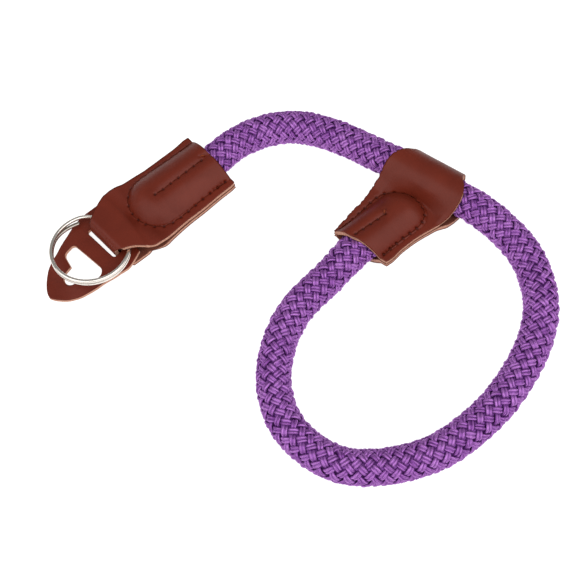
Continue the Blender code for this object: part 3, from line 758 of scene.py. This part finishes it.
def yarn_finish():
    """Shiny yarn: filaments along each tape, with painted shade between its plies, at its edges and where it
    dives.
    """
    sheen = {"Metallic": 0.4, "Specular_Tint": (0.8, 0.45, 0.9, 1.0)}
    material, tree, shader = finish_named("purple_yarn", Roughness=0.24, Specular_IOR_Level=0.2, **sheen)
    across, along, tone, lift_shade = (value_of(tree, key) for key in ("across", "along", "tone", "lift_shade"))
    wander = put(tree, "ShaderNodeTexNoise", {"noise_dimensions": "1D"}, W=along, Scale=0.25, Detail=2.0)
    sideways = sums(tree, "MULTIPLY_ADD", wander.outputs["Fac"], 0.7, across)
    drawn = sums(tree, "MULTIPLY", along, 0.05)
    place = put(tree, "ShaderNodeCombineXYZ", None, _0=sideways, _1=drawn).outputs[0]
    filaments = noise(tree, place, 4.0, 3.0, 0.65)
    streaks = band(tree, filaments, 0.38, 0.64)
    colour = mix_colours(tree, streaks, (0.130, 0.025, 0.190), (0.440, 0.180, 0.550))
    colour = mix_colours(tree, band(tree, tone, -1.4, 1.4, 0.0, 0.5), colour, (0.46, 0.200, 0.56))
    # Painted shade: the groove between the two plies, and the low parts where the tape dives under the other
    # family, are darkened.
    groove = band(tree, sums(tree, "ABSOLUTE", across), 0.04, 0.34, 0.6, 0.0)
    shade = sums(tree, "MAXIMUM", groove, band(tree, lift_shade, 0.1, 0.8, 0.92, 0.0))
    colour = mix_colours(tree, shade, colour, (0.100, 0.016, 0.180))
    give_surface(tree, shader, colour, filaments, 0.5, 0.0001)
    return material


def thread_finish():
    """Waxed thread, a little darker than the leather, with a twist along it."""
    material, tree, shader = finish_named("seam_thread", Roughness=0.55, Specular_IOR_Level=0.04)
    along, across = value_of(tree, "along"), value_of(tree, "across")
    wound = sums(tree, "MULTIPLY_ADD", across, 0.35, along)
    place = put(tree, "ShaderNodeCombineXYZ", None, _0=wound).outputs[0]
    wave = put(tree, "ShaderNodeTexWave", {"bands_direction": "X"}, Vector=place, Scale=0.9)
    twist = wave.outputs["Fac"]
    colour = mix_colours(tree, twist, (0.050, 0.007, 0.003), (0.090, 0.014, 0.006))
    colour = mix_colours(tree, value_of(tree, "worn"), colour, (0.190, 0.040, 0.018))
    give_surface(tree, shader, colour, twist, 0.6, 0.00008)
    return material


def nickel_finish():
    """Polished nickel with faint cloudy handling marks, and painted shade where its two turns touch."""
    material, tree, shader = finish_named("polished_nickel", Metallic=1.0)
    marks = noise(tree, object_place(tree), 700.0, 4.0, 0.6)
    tint = mix_colours(tree, band(tree, marks, 0.35, 0.7), (0.84, 0.79, 0.73), (0.72, 0.66, 0.59))
    # Painted shade in the crease where the two turns press together.
    tint = mix_colours(tree, value_of(tree, "turn_shade"), tint, (0.16, 0.135, 0.11))
    give_surface(tree, shader, tint, marks, 0.04, 0.00005)
    tree.links.new(band(tree, marks, 0.3, 0.8, 0.16, 0.28), shader.inputs["Roughness"])
    return material


# Camera, floor and light


def add_camera():
    """A camera that looks down, is turned about the upright and is then rolled."""
    down, turn, roll = (math.radians(angle) for angle in (CAMERA_DOWN, CAMERA_TURN, CAMERA_ROLL))
    right, up = Vector((1, 0, 0)), Vector((0, math.sin(down), math.cos(down)))
    to_row = Matrix.Rotation(turn, 3, "Z")
    side = to_row @ (right * math.cos(roll) + up * math.sin(roll))
    top = to_row @ (up * math.cos(roll) - right * math.sin(roll))
    data = bpy.data.cameras.new("camera")
    data.sensor_width = 36.0
    data.lens = CAMERA_LENS
    data.clip_start = 0.02
    camera = add_object("camera", data)
    camera.matrix_world = Matrix((side, top, side.cross(top))).transposed().to_4x4()
    camera.location = Vector(CAMERA_PLACE) * MM
    bpy.context.scene.camera = camera


def add_floor():
    """A plain pale table, bright of itself, so that hardly a shadow shows on it."""
    mesh = bpy.data.meshes.new("table")
    corners = [(-1, -1), (1, -1), (1, 1), (-1, 1)]
    places = [(TABLE_REACH * x, TABLE_REACH * y, TABLE_TOP) for x, y in corners]
    mesh.from_pydata(places, [], [(0, 1, 2, 3)])
    shade, white = (TABLE_SHADE, TABLE_SHADE, TABLE_SHADE, 1.0), (1.0, 1.0, 1.0, 1.0)
    glow = {"Emission_Color": white, "Emission_Strength": TABLE_GLOW}
    mesh.materials.append(finish_named("table", Base_Color=shade, Roughness=0.8, **glow)[0])
    add_object("table", mesh)


def add_light(name, way, height, distance, size, power):
    """A round soft light, placed by its way round, its height over the table and its distance."""
    way, height = math.radians(way), math.radians(height)
    level = distance * math.cos(height)
    aside = level * math.sin(way) + LAMPS_AIM_Y
    place = Vector((level * math.cos(way), aside, distance * math.sin(height)))
    data = bpy.data.lights.new(name, "AREA")
    data.shape = "DISK"
    data.size = size
    data.energy = power
    lamp = add_object(name, data)
    lamp.location = place
    lamp.rotation_euler = (Vector((0.0, LAMPS_AIM_Y, 0.0)) - place).to_track_quat("-Z", "Y").to_euler()


def add_world(strength):
    """Even pale surroundings."""
    world = bpy.data.worlds.new("studio")
    world.use_nodes = True
    back = world.node_tree.nodes["Background"]
    back.inputs["Color"].default_value = (1.0, 1.0, 1.0, 1.0)
    back.inputs["Strength"].default_value = strength
    bpy.context.scene.world = world


# Rope


def sewn_share(strap, x, y, start, fade):
    """Where the rope at x, y is held by a strap's pocket.

    Returns s, whether it is past start and within the strap's width, and how far it is held: 1
    there, fading out past the mouth.
    """
    base = strap.origin[0] if strap.toward > 0 else rope_x(y)
    s = strap.toward * (x - base)
    inside = (np.abs(y - strap.origin[1] - strap.seam_v) < strap.width / 2) & (s > start)
    return s, inside, np.where(inside, 1.0 - smooth_step((s - strap.reach) / fade), 0.0)


def rope_stations(step):
    """The rope's line at even steps, with the frame, the flattening and the taper at each.

    Returns distance, centre, sideways and upward directions, and the scales of width and height.
    """
    line = rope_line(3000)
    run = run_of(line)
    places = np.linspace(0.0, run[-1], int(run[-1] / step) + 1)
    centre = read_line(line, places)
    ahead = unit(np.gradient(centre, axis=0))
    sideways = unit(np.cross((0.0, 0.0, 1.0), ahead))
    upward = np.cross(ahead, sideways)
    wide = np.ones(len(places))
    high = np.ones(len(places))
    for strap in (TAB, SLIDER):
        start = strap.reach - strap.seam_depth
        s, inside, held = sewn_share(strap, centre[:, 0], centre[:, 1], start, ROPE_DIAMETER)
        end = start + ROPE_END_SETBACK * strap.seam_width
        taper = ROPE_END_SHARE + (1 - ROPE_END_SHARE) * smooth_step((s - end) / ROPE_RADIUS)
        taper = np.where(inside, taper, 1.0)
        wide *= (1 + held * (SEWN_WIDTH / ROPE_DIAMETER - 1)) * taper
        high *= (1 + held * (SEWN_HEIGHT / ROPE_DIAMETER - 1)) * taper
    return places, centre, sideways, upward, wide, high


def sewn_dip(points, centre):
    """Draws the rope in under the middle rows of stitches, as the leather over it is."""
    made = points.copy()
    rise = points[..., 2] - centre[..., 2]
    for strap in (TAB, SLIDER):
        s, _, held = sewn_share(strap, points[..., 0], points[..., 1], 0.3 * strap.reach, 3.0)
        v = points[..., 1] - strap.origin[1]
        pull = seam_dip(strap, s, v) * held * np.clip(np.abs(rise) / ROPE_RADIUS, 0.0, 1.0)
        made[..., 2] -= np.sign(rise) * pull
    return made


def add_tapes(name, way, stations, finish):
    """The flat tapes of yarn that wind one way.

    Tape k sits at angle a = 2 pi (k / TAPES + way w / lead) at distance w. Its height over the
    braid's middle follows a flattened cosine of TAPES a, upside down for the other way, so that it
    passes over one tape of the other family and under the next. Slow drift and quick shiver make
    its radius and width uneven, and a twist leans it to one side and the other. Its section shows
    two round plies side by side.
    """
    places, centre, sideways, upward, wide, high = stations
    order = np.arange(TAPES)[:, None]
    angle = 2 * math.pi * (order / TAPES + way * places / BRAID_LEAD)
    wave = np.tanh(BRAID_SQUARENESS * way * np.cos(TAPES * angle)) / math.tanh(BRAID_SQUARENESS)
    jitter = RANDOM.uniform(-1, 1, (TAPES, 1))
    run = np.stack([places + 0 * order, order * 31.0 + 0 * places], axis=-1)
    drift = ripple(run, 23.0, 7 + way)
    shiver = ripple(run, 5.0, 17 + way)
    radius = BRAID_RADIUS + BRAID_LIFT * wave + 0.03 * drift + 0.06 * shiver
    shown = angle + BRAID_TURN + 0.02 * drift
    out = spokes(shown, wide, high, sideways, upward)
    middle = centre + radius[..., None] * out
    along = unit(np.gradient(middle, axis=1))
    facing = square_to(out, along)
    across = np.cross(facing, along)
    section = np.array(TAPE_SECTION)
    half = TAPE_HALF_WIDTH * (1 + 0.04 * jitter + 0.06 * shiver) * (0.9 + 0.1 * wave)
    lean = TAPE_TWIST * ripple(run, 5.5, 31 + way)
    flat_x = section[:, 0] * half[..., None]
    flat_z = section[:, 1] * TAPE_HALF_DEPTH - TAPE_CROWN * flat_x**2
    offset_x = flat_x * np.cos(lean)[..., None] - flat_z * np.sin(lean)[..., None]
    offset_z = flat_x * np.sin(lean)[..., None] + flat_z * np.cos(lean)[..., None]
    points = middle[:, :, None] + offset_x[..., None] * across[:, :, None]
    points = points + offset_z[..., None] * facing[:, :, None]
    points = sewn_dip(points, centre[None, :, None] + 0 * points)
    length = np.cumsum(np.linalg.norm(np.gradient(middle, axis=1), axis=-1), axis=1)
    # Lower at the tape's edges, where painted shade darkens it.
    edge = 0.6 + 0.4 * np.sqrt(1 - 0.999 * section[:, 0] ** 2)
    values = {
        "across": section[:, 0],
        "along": (length + 40.0 * order)[..., None],
        "tone": (jitter + 0.8 * shiver)[..., None],
        # The yarn's painted shade grows as this value falls: where the tape dives and at its edges.
        "lift_shade": ((wave + 1) / 2)[..., None] * edge,
    }
    faces = tube_faces(*points.shape[:3])
    return make_piece(name, points, faces, finish, ("rope",), values)


def add_rope(finish):
    """The braid's two families of tapes, and a core under them that is dark with painted shade."""
    stations = rope_stations(BRAID_LEAD / STEPS_A_LEAD)
    centre, sideways, upward, wide, high = stations[1:]
    left = add_tapes("rope_braid_left", 1, stations, finish)
    right = add_tapes("rope_braid_right", -1, stations, finish)
    angle = np.linspace(0, 2 * math.pi, CORE_SIDES, endpoint=False)[:, None]
    keep = slice(None, None, 4)
    spoke = spokes(angle, wide[keep], high[keep], sideways[keep], upward[keep])
    core = (centre[keep] + CORE_RADIUS * spoke).transpose(1, 0, 2)
    faces = tube_faces(1, len(core), CORE_SIDES)
    # Painted shade: this low value gives the core the yarn's dark shade colour, for the shade in the gaps
    # between the tapes.
    values = {"across": 0.0, "along": 0.0, "tone": 0.0, "lift_shade": 0.2}
    inner = make_piece("rope_core", core, faces, finish, ("rope",), values)


# Leather straps


def add_strap(name, node, strap, finish):
    """A folded strap: both layers and the fold, with the seams pressed into its skin."""
    grid, s, v, side = strap_grid(strap)
    normals = grid_normals(grid, -strap.toward)
    pressed, dark = seam_relief(strap, s, v)
    uneven = 0.05 * ripple(grid, 14.0, 3) + 0.025 * ripple(grid, 5.0, 4)
    uneven = np.where(side < 0, np.clip(uneven, 0.0, None), uneven)
    relief = np.where(side == 0, 0.0, pressed) + uneven
    # Painted shade in the needle holes on both layers, none round the fold.
    dark = np.where(side == 0, 0.0, dark)
    quads = grid_quads(*grid.shape[:2])
    if strap.toward > 0:
        quads = quads[:, ::-1]
    flat, upright = grid.reshape(-1, 3), normals.reshape(-1, 3)
    points, faces, values = leather_solid(flat, quads, upright, relief.ravel(), dark.ravel())
    return make_piece(name, points, faces, finish, (node,), values)


def add_seams(name, strap, finish):
    """Thread between the needle's holes on both layers: short arches that dive at each end."""
    share = np.linspace(0.0, 1.0, THREAD_ROWS)
    angle = np.linspace(0, 2 * math.pi, THREAD_SIDES, endpoint=False)
    tubes, rubbed = [], []
    for side in (1, -1):
        for row, holes in enumerate(holes_of(strap)):
            start, end = holes[:-1, None], holes[1:, None]
            way = start + (end - start) * (0.07 + 0.86 * share[:, None])
            s, v = way[..., 0], way[..., 1]
            middle = layer_point(strap, s, v, side)
            ds = layer_point(strap, s + 0.05, v, side) - layer_point(strap, s - 0.05, v, side)
            dv = layer_point(strap, s, v + 0.05, side) - layer_point(strap, s, v - 0.05, side)
            normal = unit(np.cross(ds, dv)) * strap.toward * side
            stand = KNOT_STAND if row == KNOT_ROW and side > 0 else 0.0
            height = LEATHER / 2 + stand - THREAD_SUNK - THREAD_DIVE * np.abs(2 * share - 1) ** 4
            middle = middle + normal * height[:, None]
            along = unit(np.gradient(middle, axis=1))
            across = np.cross(normal, along)
            lifted = np.cross(along, across)
            thick = (THREAD_RADIUS + 0.6 * stand) * (1 - 0.25 * np.abs(2 * share - 1) ** 3)
            spoke = spokes(angle, 1.0, 0.85, across[..., None, :], lifted[..., None, :])
            tubes.append(middle[..., None, :] + spoke * thick[:, None, None])
            rubbed += [float(stand > 0)] * len(start)
    tubes = np.concatenate(tubes)
    faces = tube_faces(*tubes.shape[:3])
    values = {
        "along": (share * strap.pitch)[:, None],
        "across": angle / (2 * math.pi),
        "worn": np.array(rubbed)[:, None, None],
    }
    return make_piece(name, tubes, faces, finish, (), values)


# Lug protector


def rounded(corners, steps=8):
    """Outline through the corners, each turned with its own radius. Columns: x, y, radius."""
    corners = np.array(corners, float)
    outline = []
    for before, here, after in zip(np.roll(corners, 1, 0), corners, np.roll(corners, -1, 0)):
        back, ahead = unit(before[:2] - here[:2]), unit(after[:2] - here[:2])
        half = math.acos(float(np.clip(back @ ahead, -1, 1))) / 2
        cut = here[2] / math.tan(half)
        centre = here[:2] + unit(back + ahead) * here[2] / math.sin(half)
        first, last = here[:2] + back * cut - centre, here[:2] + ahead * cut - centre
        rays = first + (last - first) * np.linspace(0.0, 1.0, steps + 1)[:, None]
        outline.append(centre + unit(rays) * here[2])
    return np.concatenate(outline)


PROTECTOR_WAY = math.radians(PROTECTOR_TURN)
ALONG = np.array([-math.cos(PROTECTOR_WAY), -math.sin(PROTECTOR_WAY)])
ACROSS = np.array([-math.sin(PROTECTOR_WAY), math.cos(PROTECTOR_WAY)])
SLIT_MIDDLE = np.array([SLIT_X, PROTECTOR_Y])


def meeting(across, x):
    """Distance along the protector where the line that far across it meets a given x."""
    return (x - SLIT_MIDDLE[0] - across * ACROSS[0]) / ALONG[0]


def slit_shape():
    """The tongue passes through here. Its rear edge is the front of the bar, along the fold."""
    centre = TONGUE_Y - PROTECTOR_Y
    half = TONGUE_WIDTH / 2 + SLIT_SPARE
    high, low = centre + half, centre - half
    front = [SLIT_FRONT / 2 - SLIT_SKEW * across for across in (low, high)]
    bar = [BAR_X - FOLD_SLANT * (PROTECTOR_Y + across - TAB_AXIS_Y) for across in (low, high)]
    corners = [
        (front[0], low, 0.55 * SLIT_FRONT),
        (front[1], high, 0.4 * SLIT_FRONT),
        (meeting(high, bar[1]), high, 0.3 * SLIT_FRONT),
        (meeting(low, bar[0]), low, 0.3 * SLIT_FRONT),
    ]
    return rounded(corners)


def keyhole_shape():
    """A bar across the protector, deeper at its low end, with a narrower stem towards the tip."""
    near = KEYHOLE_SETBACK + SLIT_FRONT / 2
    shoulder = near + 0.78 * KEYHOLE_BAR
    far = near + 1.03 * KEYHOLE_BAR
    end = near + KEYHOLE_BAR + KEYHOLE_STEM
    half, stem = KEYHOLE_WIDTH / 2, KEYHOLE_STEM_WIDTH / 2
    corners = [
        (near, half, 0.22 * KEYHOLE_BAR),
        (shoulder, half, 0.3 * KEYHOLE_BAR),
        (far, stem, 0.3),
        (end, stem, 0.98 * stem),
        (end, -stem, 0.98 * stem),
        (far + KEYHOLE_DEEPER, -stem, 0.3),
        (shoulder + 0.9 * KEYHOLE_DEEPER, -half, 0.3 * KEYHOLE_BAR),
        (near, -half, 0.45 * KEYHOLE_BAR),
    ]
    return rounded(corners)


def even_line(points, step=0.22):
    """A line read at even steps, ends included."""
    length = run_of(points)[-1]
    return read_line(points, np.linspace(0.0, length, max(2, int(length / step) + 1)))


def protector_loops():
    """Two closed loops that share one line: one round the slit and one round the cut-out."""
    table = np.array(PROTECTOR_OUTLINE)
    shared = SLIT_FRONT / 2 + 0.45 * KEYHOLE_SETBACK
    parts = []
    for column, side in ((2, 1), (1, -1)):
        line = table[:, (0, column)] * (PROTECTOR_LENGTH, PROTECTOR_WIDTH / 2)
        dense = smooth_curve(line, CURVE_SAMPLES)
        start = meeting(side * 0.95 * PROTECTOR_WIDTH / 2, BAR_X + PROTECTOR_BAR)
        kept = dense[dense[:, 0] > start]
        cut = int(np.searchsorted(kept[:, 0], shared))
        parts.append((kept[: cut + 1], kept[cut:]))
    (high_rear, high_front), (low_rear, low_front) = parts
    divide = np.array([high_rear[-1], low_rear[-1]])
    rear = [high_rear, divide, low_rear[::-1], np.array([low_rear[0], high_rear[0]])]
    front = [high_front, low_front[::-1], divide[::-1]]
    return [np.concatenate([even_line(line)[:-1] for line in loop]) for loop in (rear, front)]


def ring_of_leather(outer, hole, centre, rings):
    """Points between a hole and an outer line, rows from the hole outwards.

    Each spoke from the centre meets the hole at the hole's own radius for that angle, read from
    its outline, and the rows share out the way to the outer line.
    """
    ray = outer - centre
    angle = np.arctan2(ray[:, 1], ray[:, 0])
    edge = even_line(np.concatenate([hole, hole[:1]]), 0.05) - centre
    edge_angle = np.arctan2(edge[:, 1], edge[:, 0])
    order = np.argsort(edge_angle)
    distance = np.linalg.norm(edge[order], axis=1)
    radius = np.interp(angle, edge_angle[order], distance, period=2 * math.pi)
    inner = centre + unit(ray) * radius[:, None]
    share = np.linspace(0.0, 1.0, rings + 1)[:, None, None]
    return inner + (outer - inner) * share


def protector_height(x):
    """The protector lies on the tab's lower layer at the slit, and its tip comes down to the table."""
    return BAR_FLOOR * smooth_step((x - TIP_X - PROTECTOR_TIP_FLAT) / PROTECTOR_DROP)


def add_protector(finish):
    """Two rings of leather, round the slit and round the cut-out, that share the line between."""
    rear_loop, front_loop = protector_loops()
    middle = np.array([KEYHOLE_SETBACK + SLIT_FRONT / 2 + 0.55 * KEYHOLE_BAR, 0.0])
    slit = slit_shape()
    parts = [
        ring_of_leather(rear_loop, slit, slit.mean(axis=0), SLIT_ROWS),
        ring_of_leather(front_loop, keyhole_shape(), middle, KEYHOLE_ROWS),
    ]
    flat, quads, start = [], [], 0
    for part in parts:
        rows, columns = part.shape[:2]
        flat.append(part.reshape(-1, 2))
        quads.append(grid_quads(rows, columns, ring=True) + start)
        start += rows * columns
    flat, quads = np.concatenate(flat), np.concatenate(quads)
    _, keep, where = np.unique(np.round(flat, 4), axis=0, return_index=True, return_inverse=True)
    flat, quads = flat[keep], where.reshape(-1)[quads]
    placed = SLIT_MIDDLE + flat[:, :1] * ALONG + flat[:, 1:] * ACROSS
    bend = 0.12 * ripple(placed, 26.0, 12) * smooth_step((placed[:, 0] - TIP_X) / 6.0)
    points = np.column_stack([placed, LEATHER / 2 + protector_height(placed[:, 0]) + bend])
    slope = (protector_height(placed[:, 0] + 0.1) - protector_height(placed[:, 0] - 0.1)) / 0.2
    normals = unit(np.column_stack([-slope, 0 * slope, 1 + 0 * slope]))
    corner = points[quads]
    facing = np.cross(corner[:, 1] - corner[:, 0], corner[:, 2] - corner[:, 0])[:, 2]
    quads = np.where((facing < 0)[:, None], quads[:, ::-1], quads)
    relief = 0.03 * ripple(points, 11.0, 9) + 0.02 * ripple(points, 4.0, 10)
    made, faces, values = leather_solid(points, quads, normals, relief, 0.0 * relief)
    name, node = "lug_protector_leather", ("lug_protector",)
    return make_piece(name, made, faces, finish, node, values)


# Split ring


def add_ring(finish):
    """One wire wound nearly twice round.

    The angle runs twice round less the step, the height steps up by one wire in the middle of the
    run, and the first end is drawn inwards. The wire is a squared circle across. A value that is 1
    on the side that faces the other turn marks where shade is painted between the turns.
    """
    step, spread = math.radians(RING_STEP_ANGLE), math.radians(RING_SPREAD_ANGLE)
    turned = np.linspace(0.02, 4 * math.pi - step - 0.02, WIRE_STEPS)
    rise = smooth_step((turned - 2 * math.pi + step) / step) - 0.5
    radius = RING_RADIUS - RING_SPREAD * (1 - smooth_step(turned / spread))
    angle = math.radians(RING_START) + turned
    coil = RING_WIRE + 0.4 * COIL_GAP
    line = np.column_stack([radius * np.cos(angle), radius * np.sin(angle), rise * coil])
    along = unit(np.gradient(line, axis=0))
    outward = unit(np.column_stack([np.cos(angle), np.sin(angle), 0 * angle]))
    outward = square_to(outward, along)
    upward = np.cross(along, outward)
    turn = np.linspace(0, 2 * math.pi, WIRE_SIDES, endpoint=False)
    flat = np.abs(np.cos(turn)) ** WIRE_SQUARENESS + np.abs(np.sin(turn)) ** WIRE_SQUARENESS
    size = RING_WIRE / 2 / flat ** (1 / WIRE_SQUARENESS)
    worn = np.ones(len(line))
    worn[:4] = worn[-4:][::-1] = (0.72, 0.9, 0.97, 1.0)
    spoke = spokes(turn, size, size, outward[:, None], upward[:, None])
    points = line[:, None] + spoke * worn[:, None, None]
    lean, tip = math.radians(RING_LEAN), math.radians(RING_TIP)
    tilt = np.array(Matrix.Rotation(lean, 3, "Y") @ Matrix.Rotation(-tip, 3, "X"))
    height = RING_FLOOR + RING_HEIGHT / 2 + RING_DIAMETER / 2 * math.sin(lean)
    points = points @ tilt.T + (RING_X, RING_Y, height)
    faces = tube_faces(1, len(line), WIRE_SIDES, inverted=True)
    # Painted shade goes on the side of the wire that faces the other turn.
    inside = 2 * rise[:, None] * np.sin(turn)
    values = {"turn_shade": 0.9 * smooth_step((inside - 0.45) / 0.4)}
    return make_piece("split_ring_wire", points, faces, finish, ("split_ring",), values)


def main():
    add_camera()
    add_rope(yarn_finish())
    leather = leather_finish("brown_leather", grain_effect(), fibre_effect())
    thread = thread_finish()
    add_strap("end_tab_leather", "end_tab", TAB, leather)
    add_strap("slider_leather", "slider", SLIDER, leather)
    add_seams("end_tab_seams", TAB, thread)
    add_seams("slider_seams", SLIDER, thread)
    add_protector(leather)
    add_ring(nickel_finish())
    add_floor()
    add_world(SURROUNDINGS)
    for lamp in LAMPS:
        add_light(*lamp)
    bpy.context.scene.view_settings.view_transform = "Standard"


main()
